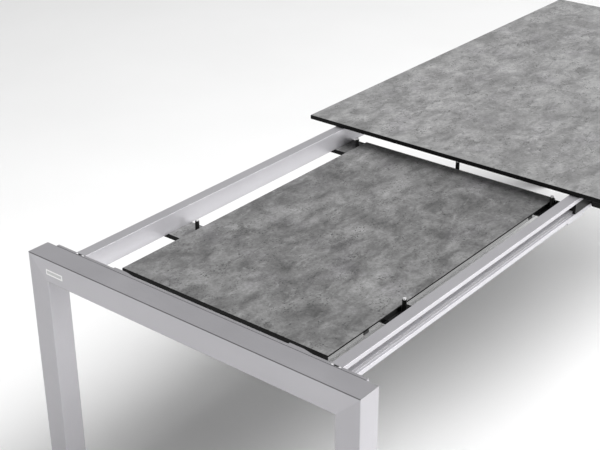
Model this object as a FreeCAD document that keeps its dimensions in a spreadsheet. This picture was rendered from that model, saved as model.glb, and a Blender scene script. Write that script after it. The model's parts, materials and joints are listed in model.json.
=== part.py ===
"""Extendable dining table with its end frame pulled out and the spare leaf stored below.

The main frame is the long table top on two fixed rails and the far pair of legs. The end frame is the
near pair of legs with two moving rails, which slide inside the fixed ones. Two shelves under the moving
rails carry the leaf, between five stop pins. Lengths are millimetres, +Z is up, +X runs along the table
from the end frame to the far legs, and the origin is on the floor under the middle of the table.
"""
import FreeCAD, Part
import os
import re
import Sketcher

SIZES = {
    # whole table, with the end frame pulled right out
    "width": 950, "height": 740, "top_length": 1500, "pull": 1044,
    # compact board used for the top, the leaf and the shelves, and its bevelled arris
    "board": 12, "bevel": 0.8, "slack": 1,
    # square tube of the legs and crossbars
    "tube": 60, "wall": 2.5, "round": 2, "foot": 5, "foot_inset": 1, "plug": 25,
    "play": 0.2,
    # plate behind the near crossbar, and its two tongues
    "plate": 7, "plate_end": 445, "tongue_reach": 5, "tongue_thick": 3, "tongue_flat": 37,
    "tongue_slope": 26, "tongue_left": 262, "tongue_right": -245,
    # moving rail: a hollow section with a groove along its outer side
    "rail_in": 354, "rail_wide": 30, "rail_high": 50, "rail_wall": 2.5, "rail_end": 1430,
    "flange": 11, "groove": 17, "track": 7, "track_deep": 8, "end_cap": 3,
    # slider in that groove, and its head, which runs inside the fixed rail
    "slider_start": 1028, "head_start": 1115, "head_wide": 39.5, "head_gap": 0.4,
    # fixed rail: a channel that opens towards the moving rail
    "fixed_in": 387, "fixed_wide": 40, "fixed_high": 48, "fixed_wall": 3, "fixed_start": 71,
    "fixed_cap": 3, "end_plate": 4,
    # leaf and the shelves that it lies on
    "leaf_long": 953, "leaf_wide": 600, "leaf_start": 127, "leaf_rest": 0.3,
    # metal strip along each side of the leaf, and two plastic buffers on each strip
    "strip": 1, "strip_high": 10, "buffer": 17, "buffer_out": 1, "buffer_high": 7, "buffer_inset": 121,
    "shelf_end": 374, "front_shelf": 332, "front_shelf_deep": 85, "rear_shelf": 1003,
    "rear_shelf_deep": 92, "clip_start": 998, "clip_long": 80, "clip_out": 382, "clip_thick": 5,
    "clip_drop": 8,
    # stop pins beside the leaf: a plastic sleeve round a bolt that comes up through the shelf
    "pin_beside": 308, "pin_front": 387, "pin_rear": 1046, "pin_back": 1087, "sleeve": 5.3,
    "sleeve_high": 29.5, "pin_bolt": 2.6, "pin_tip": 4, "pin_cap": 4, "pin_head": 4.5,
    "pin_head_thick": 3,
    # countersunk screws: radii of shank and head, head height, and how far each goes in
    "screw": 2, "screw_head": 4, "head_thick": 2, "screw_inset": 6.5, "screw_past": 4,
    "root_screw": 2.4, "root_screw_deep": 12, "root_screw_proud": 0.4, "root_screw_inset": 5.5,
    "root_screw_in": 3.5, "gasket_wide": 11, "gasket_long": 4, "gasket_deep": 4,
    "top_hole": 8, "top_screw_first": 60, "top_screw_pitch": 430,
    # blank badge on the near crossbar
    "badge_mid": 389.5, "badge_long": 55, "badge_high": 14, "badge_drop": 40, "badge_thick": 0.3,
    # pads between the far crossbar and the top
    "pad": 11, "pad_outer": 380, "pad_inner": 130,
}

NEAR = "-(pull + top_length) / 2"
TOP_FRONT = "(pull - top_length) / 2"
FAR_BAR = "(pull + top_length) / 2 - tube"
FRAME_TOP = "height - board - slack"
UNDER_TOP = "height - board"
RAIL_START = "tube + plate"
UNDER_RAIL = f"{FRAME_TOP} - rail_high"
SHELF_FLOOR = f"{UNDER_RAIL} - board"
SIDES = {"left": "1", "right": "-1"}

doc = FreeCAD.newDocument("ExtendableTable")
sheet = doc.addObject("Spreadsheet::Sheet", "Sizes")
for row, (alias, number) in enumerate(SIZES.items(), 1):
    sheet.set(f"A{row}", alias)
    sheet.set(f"B{row}", str(number))
    sheet.setAlias(f"B{row}", alias)
doc.recompute()
parts = []


def bound(expression):
    """The expression with every alias named as an object outside the sheet has to name it."""
    return re.sub(r"[a-z_]+", lambda word: f"Sizes.{word.group()}", expression)


def size(expression):
    """The present value of a size expression."""
    return float(sheet.evalExpression(expression))


def place(thing, x="0", y="0", z="0"):
    """Bind a thing's position to the sheet."""
    for axis, expression in zip("xyz", (x, y, z)):
        thing.setExpression(f"Placement.Base.{axis}", bound(expression))


def new_body(label, x="0", z="0"):
    """An empty body for one sub-part, which may hold several separate solids."""
    body = doc.addObject("PartDesign::Body", label)
    body.Label = label
    body.AllowCompound = True
    place(body, x=x, z=z)
    parts.append(body)
    return body


def new_sketch(body, role, offset="0"):
    """A sketch on one of the body's own origin planes, moved along that plane's normal."""
    sketch = body.newObject("Sketcher::SketchObject", f"{body.Label}_sketch")
    plane = next(item for item in body.Origin.OriginFeatures if item.Role == role)
    sketch.AttachmentSupport = [(plane, "")]
    sketch.MapMode = "FlatFace"
    sketch.setExpression("AttachmentOffset.Base.z", bound(offset))
    return sketch


def pin_point(sketch, element, point, position):
    """Hold one point of the sketch at a pair of size expressions from the sketch's origin."""
    for kind, expression in zip(("DistanceX", "DistanceY"), position):
        fixed = Sketcher.Constraint(kind, -1, 1, element, point, size(expression))
        number = sketch.addConstraint(fixed)
        sketch.setExpression(f"Constraints[{number}]", bound(expression))


def draw_outline(sketch, corners):
    """Add a closed outline through the corners."""
    first = sketch.GeometryCount
    count = len(corners)
    points = [FreeCAD.Vector(size(across), size(up), 0) for across, up in corners]
    for step, start in enumerate(points):
        sketch.addGeometry(Part.LineSegment(start, points[(step + 1) % count]))
    for step in range(count):
        following = first + (step + 1) % count
        sketch.addConstraint(Sketcher.Constraint("Coincident", first + step, 2, following, 1))
    for step, corner in enumerate(corners):
        pin_point(sketch, first + step, 1, corner)


def draw_circles(sketch, centres, radius):
    """Add one circle at each centre."""
    normal = FreeCAD.Vector(0, 0, 1)
    for centre in centres:
        middle = FreeCAD.Vector(size(centre[0]), size(centre[1]), 0)
        element = sketch.addGeometry(Part.Circle(middle, normal, size(radius)))
        pin_point(sketch, element, 3, centre)
        number = sketch.addConstraint(Sketcher.Constraint("Radius", element, size(radius)))
        sketch.setExpression(f"Constraints[{number}]", bound(radius))


def pad(body, sketch, length, symmetric=False):
    """Raise the sketch along its plane's normal."""
    feature = body.newObject("PartDesign::Pad", f"{body.Label}_pad")
    feature.Profile = sketch
    feature.SideType = "Symmetric" if symmetric else "One side"
    feature.setExpression("Length", bound(length))
    doc.recompute()
    return feature


def pocket(body, sketch, length=None):
    """Cut the sketch along its plane's normal: to a length, or right through both ways."""
    before = body.Shape.Volume
    feature = body.newObject("PartDesign::Pocket", f"{body.Label}_pocket")
    feature.Profile = sketch
    if length is None:
        feature.SideType = "Symmetric"
        feature.Type = "ThroughAll"
    else:
        feature.Reversed = True
        feature.setExpression("Length", bound(length))
    doc.recompute()
    if body.Shape.Volume >= before:
        raise RuntimeError(f"{body.Label}: a pocket cut nothing")
    return feature


def soften(body, kind, field, amount, wanted):
    """Fillet or chamfer the edges of the body's tip that the test picks."""
    tip = body.Tip
    names = [f"Edge{number}" for number, edge in enumerate(tip.Shape.Edges, 1) if wanted(edge)]
    feature = body.newObject(f"PartDesign::{kind}", f"{body.Label}_{kind.lower()}")
    feature.Base = (tip, names)
    feature.setExpression(field, bound(amount))
    doc.recompute()


def along(edge, axis):
    """Whether an edge is straight and runs along one axis: 0, 1 or 2 for x, y or z."""
    start, end = edge.Vertexes[0].Point, edge.Vertexes[-1].Point
    return abs(abs((end - start)[axis]) - edge.Length) < 0.001


def drill(body, role, centres, radius, start, depth):
    """Bore a round hole at each centre, along the plane's normal."""
    sketch = new_sketch(body, role, start)
    draw_circles(sketch, centres, radius)
    pocket(body, sketch, depth)


def stack(body, role, centres, steps):
    """Build up round pieces at the centres from steps of (radius, start, length)."""
    for radius, start, length in steps:
        sketch = new_sketch(body, role, start)
        draw_circles(sketch, centres, radius)
        pad(body, sketch, length)


def block(label, x, y, z):
    """A plain box from pairs of (start, length) along each axis."""
    box = doc.addObject("Part::Box", label)
    box.Label = label
    for field, (_, length) in zip(("Length", "Width", "Height"), (x, y, z)):
        box.setExpression(field, bound(length))
    place(box, x[0], y[0], z[0])
    parts.append(box)


def centred(side, inner, wide):
    """Start and length across the table of a piece that begins at an inner distance on one side."""
    return f"{side} * ({inner} + {wide} / 2) - {wide} / 2", wide


def rectangle(low, high):
    """Corners of a rectangle between two (across, up) corners."""
    return [low, (high[0], low[1]), high, (low[0], high[1])]


def crossbar(label, x):
    """Square tube across the table, mitred down onto a leg at each end."""
    body = new_body(label, x, FRAME_TOP)
    sketch = new_sketch(body, "YZ_Plane")
    draw_outline(sketch, [("-width / 2", "0"), ("width / 2", "0"),
                          ("width / 2 - tube", "-tube"), ("tube - width / 2", "-tube")])
    pad(body, sketch, "tube")
    soften(body, "Fillet", "Radius", "round", lambda edge: along(edge, 1))
    hollow = new_sketch(body, "XZ_Plane")
    draw_outline(hollow, rectangle(("wall", "wall - tube"), ("tube - wall", "-wall")))
    pocket(body, hollow)


def leg(label, x, side):
    """Square tube from just above its foot up to the mitre under the crossbar's end."""
    body = new_body(label, x)
    inner = f"{side} * (width / 2 - tube)"
    outer = f"{side} * width / 2"
    sketch = new_sketch(body, "YZ_Plane")
    draw_outline(sketch, [(inner, "foot"), (outer, "foot"),
                          (outer, FRAME_TOP), (inner, f"{FRAME_TOP} - tube")])
    pad(body, sketch, "tube")
    soften(body, "Fillet", "Radius", "round", lambda edge: along(edge, 2))
    hollow = new_sketch(body, "XY_Plane")
    draw_outline(hollow, rectangle(("wall", f"{side} * (width / 2 - tube + wall)"),
                                   ("tube - wall", f"{side} * (width / 2 - wall)")))
    pocket(body, hollow)


def foot(label, x, side):
    """Plastic glide whose square plug is pushed up into the leg."""
    body = new_body(label, x)
    sole = new_sketch(body, "XY_Plane")
    draw_outline(sole, rectangle(("foot_inset", f"{side} * (width / 2 - tube + foot_inset)"),
                                 ("tube - foot_inset", f"{side} * (width / 2 - foot_inset)")))
    pad(body, sole, "foot")
    soften(body, "Fillet", "Radius", "round", lambda edge: True)
    plug = new_sketch(body, "XY_Plane", "foot / 2")
    draw_outline(plug, rectangle(("wall + play", f"{side} * (width / 2 - tube + wall + play)"),
                                 ("tube - wall - play", f"{side} * (width / 2 - wall - play)")))
    pad(body, plug, "plug")


def board(label, x, z, start, length, reach):
    """Compact board across the table, with its long and short arrises bevelled."""
    body = new_body(label, x, z)
    sketch = new_sketch(body, "XY_Plane")
    draw_outline(sketch, rectangle((start, f"-({reach})"), (f"{start} + {length}", reach)))
    pad(body, sketch, "board")
    soften(body, "Chamfer", "Size", "bevel", lambda edge: not along(edge, 2))
    return body


def back_plate():
    """Plate welded behind the near crossbar, with two tongues that reach out from its top."""
    body = new_body("back_plate", NEAR, FRAME_TOP)
    sheet_outline = new_sketch(body, "YZ_Plane", "tube")
    draw_outline(sheet_outline, rectangle(("-plate_end", "-rail_high"), ("plate_end", "0")))
    pad(body, sheet_outline, "plate")
    tongues = new_sketch(body, "XY_Plane", "-tongue_thick")
    root = "tube + plate / 2"
    edge = "tube + plate + tongue_reach"
    for start in ("tongue_left", "tongue_right"):
        draw_outline(tongues, [(root, start), (edge, start), (edge, f"{start} - tongue_flat"),
                               ("tube + plate", f"{start} - tongue_flat - tongue_slope"),
                               (root, f"{start} - tongue_flat - tongue_slope")])
    pad(body, tongues, "tongue_thick")
    drill(body, "XY_Plane", both_sides(root_screw_places), "root_screw", "-root_screw_deep",
          "root_screw_deep")
    slots = new_sketch(body, "XY_Plane", "-gasket_deep")
    for side in SIDES.values():
        draw_outline(slots, gasket_outline(side))
    pocket(body, slots, "gasket_deep")


def moving_rail(side_name, side):
    """Hollow rail whose outer groove has a raised track along its floor."""
    body = new_body(f"moving_rail_{side_name}", NEAR, FRAME_TOP)

    def across(distance):
        return f"{side} * (rail_in + {distance})"

    skin = "rail_wall"
    outside = [("0", "0"), ("rail_wide", "0"), ("rail_wide", "-flange"),
               ("rail_wide - groove", "-flange"), ("rail_wide - groove", "flange + track - rail_high"),
               ("rail_wide - track_deep", "flange + track - rail_high"),
               ("rail_wide - track_deep", "flange - rail_high"), ("rail_wide", "flange - rail_high"),
               ("rail_wide", "-rail_high"), ("0", "-rail_high")]
    inside = [(skin, f"-{skin}"), (f"rail_wide - {skin}", f"-{skin}"),
              (f"rail_wide - {skin}", f"{skin} - flange"),
              (f"rail_wide - groove - {skin}", f"{skin} - flange"),
              (f"rail_wide - groove - {skin}", f"flange + track - rail_high - {skin}"),
              (f"rail_wide - track_deep - {skin}", f"flange + track - rail_high - {skin}"),
              (f"rail_wide - track_deep - {skin}", f"flange - rail_high - {skin}"),
              (f"rail_wide - {skin}", f"flange - rail_high - {skin}"),
              (f"rail_wide - {skin}", f"{skin} - rail_high"), (skin, f"{skin} - rail_high")]
    sketch = new_sketch(body, "YZ_Plane", RAIL_START)
    for loop in (outside, inside):
        draw_outline(sketch, [(across(out), up) for out, up in loop])
    pad(body, sketch, f"rail_end - ({RAIL_START})")
    drill(body, "XY_Plane", shelf_screw_places(side), "screw", "-rail_high", "rail_wall")


def shelf_screw_places(side):
    """Centres of the screws under one rail: two in the end of each shelf."""
    return [(f"{shelf_name} + {shelf_name}_deep * {share}", f"{side} * (rail_in + screw_inset)")
            for shelf_name in ("front_shelf", "rear_shelf") for share in ("0.25", "0.75")]


def rail_slider(side_name, side):
    """Plastic slider that fills the groove, with a head for the fixed rail's channel."""
    body = new_body(f"rail_slider_{side_name}", NEAR, FRAME_TOP)
    outer = f"{side} * (rail_in + rail_wide)"
    wall_face = f"{side} * (rail_in + rail_wide - groove)"
    track_face = f"{side} * (rail_in + rail_wide - track_deep)"
    sketch = new_sketch(body, "YZ_Plane", "slider_start")
    draw_outline(sketch, [(outer, "-flange"), (wall_face, "-flange"),
                          (wall_face, "flange + track - rail_high"),
                          (track_face, "flange + track - rail_high"),
                          (track_face, "flange - rail_high"), (outer, "flange - rail_high")])
    pad(body, sketch, "rail_end - slider_start")
    head = new_sketch(body, "YZ_Plane", "head_start")
    draw_outline(head, rectangle(
        (outer, "slack + fixed_wall + head_gap - fixed_high"),
        (f"{side} * (rail_in + rail_wide + head_wide)", "slack - fixed_wall - head_gap")))
    pad(body, head, "rail_end - head_start")


def fixed_rail(side_name, side):
    """Channel under the top that opens towards the moving rail."""
    body = new_body(f"fixed_rail_{side_name}", TOP_FRONT, UNDER_TOP)
    mouth = f"{side} * fixed_in"
    back = f"{side} * (fixed_in + fixed_wide)"
    floor = f"{side} * (fixed_in + fixed_wide - fixed_wall)"
    sketch = new_sketch(body, "YZ_Plane", "fixed_start")
    draw_outline(sketch, [(mouth, "0"), (back, "0"), (back, "-fixed_high"), (mouth, "-fixed_high"),
                          (mouth, "fixed_wall - fixed_high"), (floor, "fixed_wall - fixed_high"),
                          (floor, "-fixed_wall"), (mouth, "-fixed_wall")])
    pad(body, sketch, "top_length - tube - end_plate - fixed_start")
    drill(body, "XY_Plane", top_screw_places(side), "screw_head", "-fixed_wall", "head_thick")
    drill(body, "XY_Plane", top_screw_places(side), "screw", "-fixed_wall", "fixed_wall")


def top_screw_places(side):
    """Centres of the screws that hold the top down on one fixed rail."""
    return [(f"fixed_start + top_screw_first + top_screw_pitch * {number}",
             f"{side} * (fixed_in + fixed_wide / 2)") for number in range(4)]


def stop_pin_places():
    """Centres of the stop pins: two on each side of the leaf and one behind it."""
    beside = [(x, f"{side} * pin_beside") for side in SIDES.values() for x in ("pin_front", "pin_rear")]
    return beside + [("pin_back", "0")]


def both_sides(places):
    """Every place from a function of the side, for both sides together."""
    return [spot for side in SIDES.values() for spot in places(side)]


def build_main_frame():
    """The top, the far legs and everything that stays with them."""
    top = board("main_top", TOP_FRONT, UNDER_TOP, "0", "top_length", "width / 2")
    drill(top, "XY_Plane", both_sides(top_screw_places), "screw", "0", "top_hole")
    crossbar("far_crossbar", FAR_BAR)
    for side_name, side in SIDES.items():
        leg(f"far_leg_{side_name}", FAR_BAR, side)
        foot(f"far_foot_{side_name}", FAR_BAR, side)
        fixed_rail(side_name, side)
        across = centred(side, "fixed_in", "fixed_wide")
        upright = (f"{UNDER_TOP} - fixed_high", "fixed_high - slack")
        block(f"fixed_rail_cap_{side_name}",
              (f"{TOP_FRONT} + fixed_start - fixed_cap", "fixed_cap"), across, upright)
        block(f"rail_end_plate_{side_name}", (f"{FAR_BAR} - end_plate", "end_plate"), across, upright)
    screws = new_body("top_screws", TOP_FRONT, UNDER_TOP)
    stack(screws, "XY_Plane", both_sides(top_screw_places),
          [("screw_head", "-fixed_wall", "head_thick"), ("screw", "-fixed_wall", "fixed_wall + top_hole")])
    pads = new_body("spacer_pads", FAR_BAR, FRAME_TOP)
    centres = [("tube / 2", f"{side} * {reach}") for side in SIDES.values()
               for reach in ("pad_outer", "pad_inner")]
    stack(pads, "XY_Plane", centres, [("pad", "0", "slack")])


def gasket_outline(side):
    """Corners of the slot for one gasket, in the plate's top between two screws."""
    front = "tube + root_screw_in - gasket_long / 2"
    back = "tube + root_screw_in + gasket_long / 2"
    near, far = (f"{side} * (rail_in + rail_wide / 2 {sign} gasket_wide / 2)" for sign in "-+")
    return [(front, near), (back, near), (back, far), (front, far)]


def rail_gasket(side_name, side):
    """Plastic plug in the back plate's top at the root of one moving rail."""
    body = new_body(f"rail_gasket_{side_name}", NEAR, FRAME_TOP)
    sketch = new_sketch(body, "XY_Plane", "-gasket_deep")
    draw_outline(sketch, gasket_outline(side))
    pad(body, sketch, "gasket_deep")


def root_screw_places(side):
    """Centres of the two bright screws in the back plate's top at the root of one rail."""
    return [("tube + root_screw_in", f"{side} * (rail_in + {distance})")
            for distance in ("root_screw_inset", "rail_wide - root_screw_inset")]


def shelf(label, start, deep):
    """Board that hangs under both moving rails, bored for its screws and its stop pins."""
    body = board(label, NEAR, SHELF_FLOOR, start, deep, "shelf_end")
    screws = [spot for spot in both_sides(shelf_screw_places) if spot[0].startswith(f"{start} ")]
    drill(body, "XY_Plane", screws, "screw_head", "0", "head_thick")
    drill(body, "XY_Plane", screws, "screw", "0", "board")
    low, high = size(start), size(f"{start} + {deep}")
    pins = [spot for spot in stop_pin_places() if low < size(spot[0]) < high]
    drill(body, "XY_Plane", pins, "pin_bolt", "0", "board")


def stop_pins():
    """Sleeves that stand on the shelves round the leaf, and the bolts inside them."""
    sleeves = new_body("stop_pin_sleeves", NEAR, UNDER_RAIL)
    sketch = new_sketch(sleeves, "XY_Plane")
    draw_circles(sketch, stop_pin_places(), "sleeve")
    draw_circles(sketch, stop_pin_places(), "pin_bolt")
    pad(sleeves, sketch, "sleeve_high")
    bolts = new_body("stop_pin_bolts", NEAR, SHELF_FLOOR)
    stack(bolts, "XY_Plane", stop_pin_places(),
          [("pin_head", "-pin_head_thick", "pin_head_thick"),
           ("pin_bolt", "0", "board + sleeve_high"),
           ("pin_cap", "board + sleeve_high", "pin_tip")])


def build_end_frame():
    """The near legs, the moving rails, the shelves and everything that slides with them."""
    crossbar("near_crossbar", NEAR)
    back_plate()
    for side_name, side in SIDES.items():
        leg(f"near_leg_{side_name}", NEAR, side)
        foot(f"near_foot_{side_name}", NEAR, side)
        moving_rail(side_name, side)
        rail_slider(side_name, side)
        rail_gasket(side_name, side)
        block(f"rail_end_cap_{side_name}", (f"{NEAR} + rail_end", "end_cap"),
              centred(side, "rail_in", "rail_wide"), (UNDER_RAIL, "rail_high"))
        block(f"shelf_clip_{side_name}", (f"{NEAR} + clip_start", "clip_long"),
              centred(side, "clip_out - clip_thick", "clip_thick"),
              (f"{UNDER_RAIL} - clip_drop", "clip_drop"))
    root_screws = new_body("rail_root_screws", NEAR, FRAME_TOP)
    stack(root_screws, "XY_Plane", both_sides(root_screw_places),
          [("root_screw", "-root_screw_deep", "root_screw_deep + root_screw_proud")])
    shelf("front_shelf", "front_shelf", "front_shelf_deep")
    shelf("rear_shelf", "rear_shelf", "rear_shelf_deep")
    shelf_screws = new_body("shelf_screws", NEAR, SHELF_FLOOR)
    stack(shelf_screws, "XY_Plane", both_sides(shelf_screw_places),
          [("screw_head", "0", "head_thick"), ("screw", "0", "board + rail_wall + screw_past")])
    stop_pins()
    block("badge", (f"{NEAR} - badge_thick", "badge_thick"),
          ("badge_mid - badge_long / 2", "badge_long"), (f"{FRAME_TOP} - badge_drop", "badge_high"))


def build_leaf():
    """The leaf, with a strip along both sides and the buffers on them."""
    under = f"{UNDER_RAIL} + leaf_rest"
    board("leaf", NEAR, under, "leaf_start", "leaf_long", "leaf_wide / 2")
    for side_name, side in SIDES.items():
        block(f"leaf_strip_{side_name}", (f"{NEAR} + leaf_start", "leaf_long"),
              centred(side, "leaf_wide / 2", "strip"), (under, "strip_high"))
        for end, start in (("front", "buffer_inset"), ("rear", "leaf_long - buffer_inset - buffer")):
            block(f"leaf_buffer_{end}_{side_name}", (f"{NEAR} + leaf_start + {start}", "buffer"),
                  centred(side, "leaf_wide / 2 + strip", "buffer_out"),
                  (f"{under} + strip_high - buffer_high", "buffer_high"))


def check_and_export():
    """Stop at any failed object or bad shape, then write one STEP file for each sub-part."""
    failed = [item.Name for item in doc.Objects if {"Invalid", "Error"} & set(item.State)]
    bad = [part.Label for part in parts if part.Shape.isNull() or not part.Shape.isValid()]
    if failed or bad:
        raise RuntimeError(f"failed objects {failed}, bad shapes {bad}")
    os.makedirs("parts", exist_ok=True)
    for part in parts:
        part.Shape.exportStep(f"parts/{part.Label}.step")
        print(part.Label, len(part.Shape.Solids), round(part.Shape.Volume))


build_main_frame()
build_end_frame()
build_leaf()
doc.recompute()
check_and_export()
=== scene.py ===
import json
import math

import bmesh
import bpy
from mathutils import Matrix, Vector


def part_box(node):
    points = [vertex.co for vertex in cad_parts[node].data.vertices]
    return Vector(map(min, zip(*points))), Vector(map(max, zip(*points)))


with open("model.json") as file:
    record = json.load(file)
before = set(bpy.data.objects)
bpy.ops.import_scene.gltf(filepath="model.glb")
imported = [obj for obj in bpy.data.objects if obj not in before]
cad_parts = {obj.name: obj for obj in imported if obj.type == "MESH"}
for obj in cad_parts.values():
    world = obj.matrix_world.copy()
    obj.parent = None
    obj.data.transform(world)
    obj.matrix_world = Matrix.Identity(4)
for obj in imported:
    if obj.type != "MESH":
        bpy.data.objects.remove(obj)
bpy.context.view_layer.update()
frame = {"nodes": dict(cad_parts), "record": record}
nodes = frame["nodes"]

MM = 0.001
LEAF_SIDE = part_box("leaf")[1].y
GROOVE_MIDDLE = 372 * MM
GROOVE_HALF = 8.5 * MM
FLOOR_HALF = 30.0


# ---------------------------------------------------------------- materials

class Shader:
    """One material's node tree, with short calls for the nodes that the finishes share."""

    def __init__(self, name):
        self.material = bpy.data.materials.new(name)
        self.material.use_nodes = True
        self.tree = self.material.node_tree
        self.surface = self.tree.nodes["Principled BSDF"]
        self.place = self.tree.nodes.new("ShaderNodeTexCoord").outputs["Object"]

    def node(self, kind, inputs=None, **fields):
        made = self.tree.nodes.new(f"ShaderNode{kind}")
        for field, value in fields.items():
            setattr(made, field, value)
        for key, value in (inputs or {}).items():
            self.feed(made.inputs[key], value)
        return made

    def feed(self, socket, value):
        if isinstance(value, bpy.types.NodeSocket):
            self.tree.links.new(value, socket)
        else:
            socket.default_value = value

    def stretched(self, scale):
        return self.node("Mapping", {"Vector": self.place, "Scale": scale}).outputs["Vector"]

    def noise(self, scale, detail=4.0, roughness=0.55, distortion=0.0, vector=None):
        made = self.node("TexNoise", {"Vector": vector or self.place, "Scale": scale, "Detail": detail,
                                      "Roughness": roughness, "Distortion": distortion})
        return made.outputs["Fac"]

    def ramp(self, factor, *stops):
        """A colour ramp through (position, grey or colour) stops."""
        made = self.node("ValToRGB", {"Fac": factor})
        elements = made.color_ramp.elements
        while len(elements) < len(stops):
            elements.new(0.5)
        for element, (position, tone) in zip(elements, stops):
            element.position = position
            element.color = (*tone, 1.0) if isinstance(tone, tuple) else (tone, tone, tone, 1.0)
        return made.outputs["Color"]

    def mix(self, factor, first, second, blend="MIX"):
        made = self.node("Mix", data_type="RGBA", blend_type=blend)
        self.feed(made.inputs["Factor"], factor)
        self.feed(made.inputs["A"], first)
        self.feed(made.inputs["B"], second)
        return made.outputs["Result"]

    def maths(self, operation, first, second=0.0):
        return self.node("Math", {0: first, 1: second}, operation=operation).outputs["Value"]

    def bump(self, height, depth, strength=1.0):
        made = self.node("Bump", {"Height": height, "Distance": depth, "Strength": strength})
        self.feed(self.surface.inputs["Normal"], made.outputs["Normal"])

    def set(self, **sockets):
        for name, value in sockets.items():
            self.feed(self.surface.inputs[name.replace("_", " ")], value)
        return self.material


def grey(value):
    return (value, value, value, 1.0)


def concrete_board(name, level, shift=0.0, painted_shade_past=0.0, calm=0.0):
    """Compact board: a concrete print on both faces and a black core at every edge.

    level scales the tones, shift moves the print along, and calm evens it out. On the right, past the side
    given, the faces are painted black too, as painted shade between the leaf and the rail.
    """
    look = Shader(name)
    across = look.node("SeparateXYZ", {0: look.place}).outputs["Y"]
    look.place = look.node("Mapping", {"Vector": look.place,
                                       "Location": (shift, 0.4 * shift, 0.0)}).outputs["Vector"]
    drawn = look.node("Mapping", {"Vector": look.place, "Rotation": (0.0, 0.0, -0.6),
                                  "Scale": (1.0, 1.7, 1.0)}).outputs["Vector"]
    clouds = look.noise(6.2, 5.0, 0.55, 0.5)
    patches = look.noise(12.0, 8.0, 0.66, 0.5, drawn)
    flecks = look.noise(42.0, 6.0, 0.70, 0.5, drawn)
    grain = look.noise(125.0, 4.0, 0.75)
    dark, middle, light = (value * level for value in (0.150, 0.192, 0.240))
    tone = look.ramp(clouds, (0.33, dark), (0.50, middle), (0.67, light))
    tone = look.mix(1.0, tone, look.ramp(patches, (0.35, 0.31), (0.50, 0.50), (0.65, 0.68)), "OVERLAY")
    tone = look.mix(0.50, tone, look.ramp(flecks, (0.28, 0.30), (0.72, 0.70)), "OVERLAY")
    tone = look.mix(0.50, tone, look.ramp(grain, (0.25, 0.22), (0.75, 0.78)), "OVERLAY")
    smears = look.noise(27.0, 7.0, 0.70, 1.2, drawn)
    tone = look.mix(look.ramp(smears, (0.58, 0.0), (0.70, 0.50)), tone, grey(0.40 * level))
    stains = look.noise(16.0, 9.0, 0.78, 0.8, drawn)
    where = look.noise(4.3, 2.0, 0.5)
    worn = look.maths("MULTIPLY", look.ramp(stains, (0.53, 0.0), (0.64, 1.0)),
                      look.ramp(where, (0.47, 0.0), (0.60, 0.85)))
    tone = look.mix(worn, tone, grey(0.105 * level))
    pits = look.noise(190.0, 2.0, 0.6)
    dots = look.maths("MULTIPLY", look.ramp(pits, (0.55, 0.0), (0.61, 1.0)),
                      look.ramp(stains, (0.49, 0.0), (0.58, 0.9)))
    tone = look.mix(dots, tone, grey(0.045))
    bloom = look.noise(8.0, 4.0, 0.6)
    tone = look.mix(look.ramp(bloom, (0.52, 0.0), (0.70, 0.5)), tone, (1.0, 0.975, 1.03, 1.0), "MULTIPLY")
    tone = look.mix(calm, tone, grey(0.185 * level))
    normal = look.node("NewGeometry").outputs["Normal"]
    upright = look.node("SeparateXYZ", {0: normal}).outputs["Z"]
    face = look.maths("GREATER_THAN", look.maths("ABSOLUTE", upright), 0.9)
    # Painted shade: past the given side on the right, the shelf faces take the black core colour.
    if painted_shade_past:
        face = look.maths("MULTIPLY", face, look.maths("GREATER_THAN", across, -painted_shade_past))
    layers = look.noise(60.0, 3.0, 0.6, 0.0, look.stretched((0.2, 0.2, 14.0)))
    core = look.ramp(layers, (0.35, 0.002), (0.7, 0.008))
    look.bump(look.mix(0.5, grain, flecks), 0.00025, 0.35)
    roughness = look.ramp(patches, (0.3, 0.44), (0.7, 0.56))
    gloss = look.mix(face, grey(0.12), grey(0.40))
    return look.set(Base_Color=look.mix(face, core, tone), Roughness=roughness, Specular_IOR_Level=gloss)


def silver_paint(name="silver_paint", level=1.0, shine=0.55, painted_edge_shade=0.0, painted_groove_shade=0.0):
    """Satin silver coat with fine flake; the rounded edges and rail grooves can be painted darker, as
    painted shade.
    """
    look = Shader(name)
    flake = look.noise(2600.0, 1.0, 0.5)
    drift = look.noise(7.0, 3.0, 0.5)
    dull = tuple(value * level for value in (0.415, 0.408, 0.430))
    bright = tuple(value * level for value in (0.485, 0.478, 0.500))
    tone = look.ramp(flake, (0.35, dull), (0.65, bright))
    tone = look.mix(0.18, tone, look.ramp(drift, (0.3, 0.40), (0.7, 0.60)), "OVERLAY")
    normal = look.node("SeparateXYZ", {0: look.node("NewGeometry").outputs["Normal"]}).outputs
    # Painted shade: the rounded edges between X-facing and Z-facing faces are painted dark grey.
    corner = look.maths("MINIMUM", look.maths("ABSOLUTE", normal["X"]), look.maths("ABSOLUTE", normal["Z"]))
    shade = look.maths("MULTIPLY", look.ramp(corner, (0.10, 0.0), (0.30, 1.0)), painted_edge_shade)
    tone = look.mix(shade, tone, grey(0.10))
    # Painted shade: the upright faces inside the rail grooves are painted dark grey.
    across = look.maths("ABSOLUTE", look.node("SeparateXYZ", {0: look.place}).outputs["Y"])
    inside = look.maths("COMPARE", across, GROOVE_MIDDLE)
    inside.node.inputs[2].default_value = GROOVE_HALF
    upright = look.maths("GREATER_THAN", look.maths("ABSOLUTE", normal["Y"]), 0.5)
    recess = look.maths("MULTIPLY", look.maths("MULTIPLY", inside, upright), painted_groove_shade)
    tone = look.mix(recess, tone, grey(0.12))
    look.bump(look.noise(900.0, 2.0, 0.5), 0.00004, 0.25)
    roughness = look.ramp(drift, (0.3, 0.36), (0.7, 0.42))
    return look.set(Base_Color=tone, Metallic=shine, Roughness=roughness)


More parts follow.
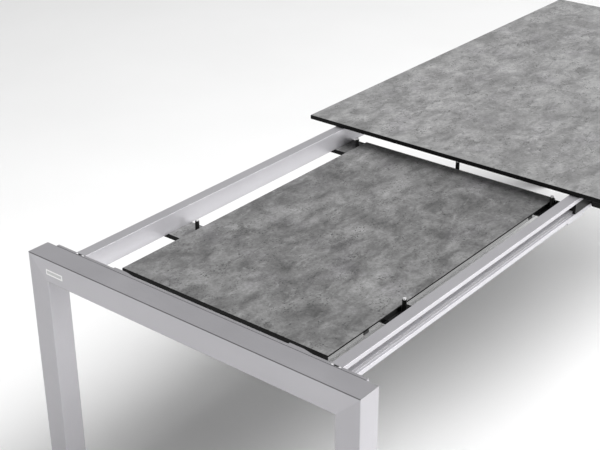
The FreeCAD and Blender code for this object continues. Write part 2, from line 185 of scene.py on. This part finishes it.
def black_plastic(name="black_plastic", dark=0.004, light=0.010):
    """Moulded black plastic with a fine spark-eroded texture."""
    look = Shader(name)
    grain = look.noise(1400.0, 3.0, 0.6)
    tone = look.ramp(look.noise(40.0, 3.0), (0.3, dark), (0.7, light))
    look.bump(grain, 0.00006, 0.5)
    return look.set(Base_Color=tone, Roughness=look.ramp(grain, (0.3, 0.38), (0.7, 0.52)),
                    Specular_IOR_Level=0.22)


def bright_steel():
    """Turned stainless steel with fine tool marks."""
    look = Shader("bright_steel")
    marks = look.noise(700.0, 2.0, 0.5, 0.0, look.stretched((1.0, 1.0, 8.0)))
    tone = look.ramp(marks, (0.3, (0.84, 0.84, 0.85)), (0.7, (0.94, 0.94, 0.95)))
    look.bump(marks, 0.00003, 0.3)
    return look.set(Base_Color=tone, Metallic=0.35, Roughness=look.ramp(marks, (0.3, 0.18), (0.7, 0.30)))


def badge_plate():
    """Blank enamelled plate: a light rim round a grey field."""
    look = Shader("badge_plate")
    spot = look.tree.nodes.new("ShaderNodeTexCoord").outputs["Generated"]
    centred = look.node("VectorMath", {0: spot, 1: (0.5, 0.5, 0.5)}, operation="SUBTRACT").outputs["Vector"]
    reach = look.node("SeparateXYZ", {0: centred}).outputs
    across = look.maths("GREATER_THAN", look.maths("ABSOLUTE", reach["Y"]), 0.445)
    up = look.maths("GREATER_THAN", look.maths("ABSOLUTE", reach["Z"]), 0.26)
    brushed = look.noise(500.0, 3.0, 0.6, 0.0, look.stretched((1.0, 0.1, 6.0)))
    field = look.ramp(brushed, (0.3, 0.50), (0.7, 0.62))
    rim = look.ramp(brushed, (0.3, 0.86), (0.7, 0.95))
    look.bump(look.maths("MAXIMUM", across, up), 0.0002, 0.5)
    return look.set(Base_Color=look.mix(look.maths("MAXIMUM", across, up), field, rim), Roughness=0.35)


def polished_strip():
    """Dark polished metal trim with faint lengthwise drawing lines."""
    look = Shader("polished_strip")
    lines = look.noise(600.0, 3.0, 0.6, 0.0, look.stretched((0.02, 1.0, 1.0)))
    tone = look.ramp(lines, (0.3, 0.20), (0.7, 0.27))
    look.bump(lines, 0.00002, 0.3)
    return look.set(Base_Color=tone, Metallic=1.0, Roughness=look.ramp(lines, (0.3, 0.08), (0.7, 0.14)))


def studio_floor():
    """White studio sweep with a soft sheen; its colour is painted a little greyer towards its far left, as
    painted shade.
    """
    look = Shader("studio_floor")
    tone = look.ramp(look.noise(1.5, 2.0), (0.3, 0.86), (0.7, 0.88))
    # Painted shade: the floor colour darkens towards +Y, standing in for light falling off.
    away = look.maths("DIVIDE", look.node("SeparateXYZ", {0: look.place}).outputs["Y"], 5.0)
    tone = look.mix(1.0, tone, look.ramp(away, (0.26, 1.0), (0.85, 0.76)), "MULTIPLY")
    return look.set(Base_Color=tone, Roughness=0.3, Specular_IOR_Level=0.35)


FINISH = {
    "compact_board": concrete_board("compact_board", 0.95),
    "frame_paint": silver_paint(),
    "black_plastic": black_plastic(),
    "steel_screws": bright_steel(),
    "rubber_pads": black_plastic("black_rubber", 0.003, 0.007),
    "badge_plate": badge_plate(),
}

RAIL = silver_paint("rail_aluminium", 1.18, 0.50, painted_groove_shade=0.65)
# The crossbars' level 1.07 paints them lighter than the legs' same paint, as painted light.
BAR = silver_paint("crossbar_paint", 1.07, painted_edge_shade=0.75)
STRIP = polished_strip()
SHELF = concrete_board("shelf_board", 0.95, painted_shade_past=LEAF_SIDE)
SPECIAL = {
    # The main top's level 1.37 against the leaf's 0.95 paints the same board lighter, as painted light.
    "main_top": concrete_board("table_top", 1.37, shift=3.0, calm=0.28),
    "moving_rail": RAIL,
    "fixed_rail_l": RAIL,
    "fixed_rail_r": RAIL,
    "shelf_clip": RAIL,
    "near_crossbar": BAR,
    "far_crossbar": BAR,
    "leaf_strip": STRIP,
    "front_shelf": SHELF,
    "rear_shelf": SHELF,
}


def finish_nodes():
    """Give every CAD node the finish of its slot in the record, or its own where it has one."""
    for row in frame["record"]["subparts"]:
        name = row["node"]
        finish = next((made for start, made in SPECIAL.items() if name.startswith(start)),
                      FINISH[row["material_slot"]])
        slots = nodes[name].data.materials
        for index in range(len(slots)):
            slots[index] = finish


def ease_edges():
    """Break the sharp arrises of the metal and plastic pieces, so that they catch the light."""
    for name, wide in (("moving_rail_left", 0.8), ("moving_rail_right", 1.2), ("fixed_rail_left", 0.6),
                       ("fixed_rail_right", 0.6), ("back_plate", 0.6), ("shelf_clip_left", 0.5),
                       ("shelf_clip_right", 0.5), ("rail_slider_left", 0.6), ("rail_slider_right", 0.6),
                       ("fixed_rail_cap_left", 0.6), ("fixed_rail_cap_right", 0.6)):
        node = nodes[name]
        weld = node.modifiers.new("weld", "WELD")
        weld.merge_threshold = 0.01 * MM
        bevel = node.modifiers.new("arris", "BEVEL")
        bevel.width = wide * MM
        bevel.segments = 2
        bevel.limit_method = "ANGLE"
        bevel.angle_limit = math.radians(40)
        bevel.harden_normals = True


finish_nodes()
ease_edges()


# ---------------------------------------------------------------- camera, light and floor

def studio():
    """Camera at the near left corner, soft suns overhead and from two sides, and a white floor."""
    bar_low, bar_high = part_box("near_crossbar")
    corner = Vector((bar_low.x, (bar_low.y + bar_high.y) / 2, bar_high.z))
    azimuth, elevation, roll = (math.radians(angle) for angle in (-50.91, 26.69, -0.28))
    back = Vector((math.sin(azimuth) * math.cos(elevation),
                   -math.cos(azimuth) * math.cos(elevation), math.sin(elevation)))
    camera = bpy.data.objects.new("camera", bpy.data.cameras.new("camera"))
    camera.data.sensor_width = 36.0
    camera.data.lens = 73.02
    turn = back.to_track_quat("Z", "Y").to_matrix() @ Matrix.Rotation(roll, 3, "Z")
    camera.matrix_world = Matrix.Translation(corner + Vector((-1.5274, -1.5724, 1.3093))) @ turn.to_4x4()
    bpy.context.scene.collection.objects.link(camera)
    bpy.context.scene.camera = camera

    lights = [(f"overhead {lean}", (math.tan(math.radians(lean)), -0.54, 1.0), 34.0, 0.98)
              for lean in (-5, 13, 29, 45)]
    lights += [("right side", (0.10, -1.00, 0.04), 30.0, 3.25),
               ("left front", (-1.00, 0.05, 0.04), 30.0, 1.08)]
    for name, toward, angle, strength in lights:
        light = bpy.data.lights.new(name, "SUN")
        light.angle = math.radians(angle)
        light.energy = strength
        lamp = bpy.data.objects.new(name, light)
        lamp.rotation_euler = Vector(toward).to_track_quat("Z", "Y").to_euler()
        bpy.context.scene.collection.objects.link(lamp)

    world = bpy.data.worlds.new("studio")
    world.use_nodes = True
    world.node_tree.nodes["Background"].inputs["Color"].default_value = (1.0, 1.0, 1.0, 1.0)
    world.node_tree.nodes["Background"].inputs["Strength"].default_value = 0.20
    bpy.context.scene.world = world
    bpy.context.scene.view_settings.view_transform = "Standard"

    sweep = bpy.data.meshes.new("floor")
    shape = bmesh.new()
    bmesh.ops.create_grid(shape, x_segments=8, y_segments=8, size=FLOOR_HALF)
    shape.to_mesh(sweep)
    shape.free()
    sweep.materials.append(studio_floor())
    floor = bpy.data.objects.new("floor", sweep)
    bpy.context.scene.collection.objects.link(floor)


studio()
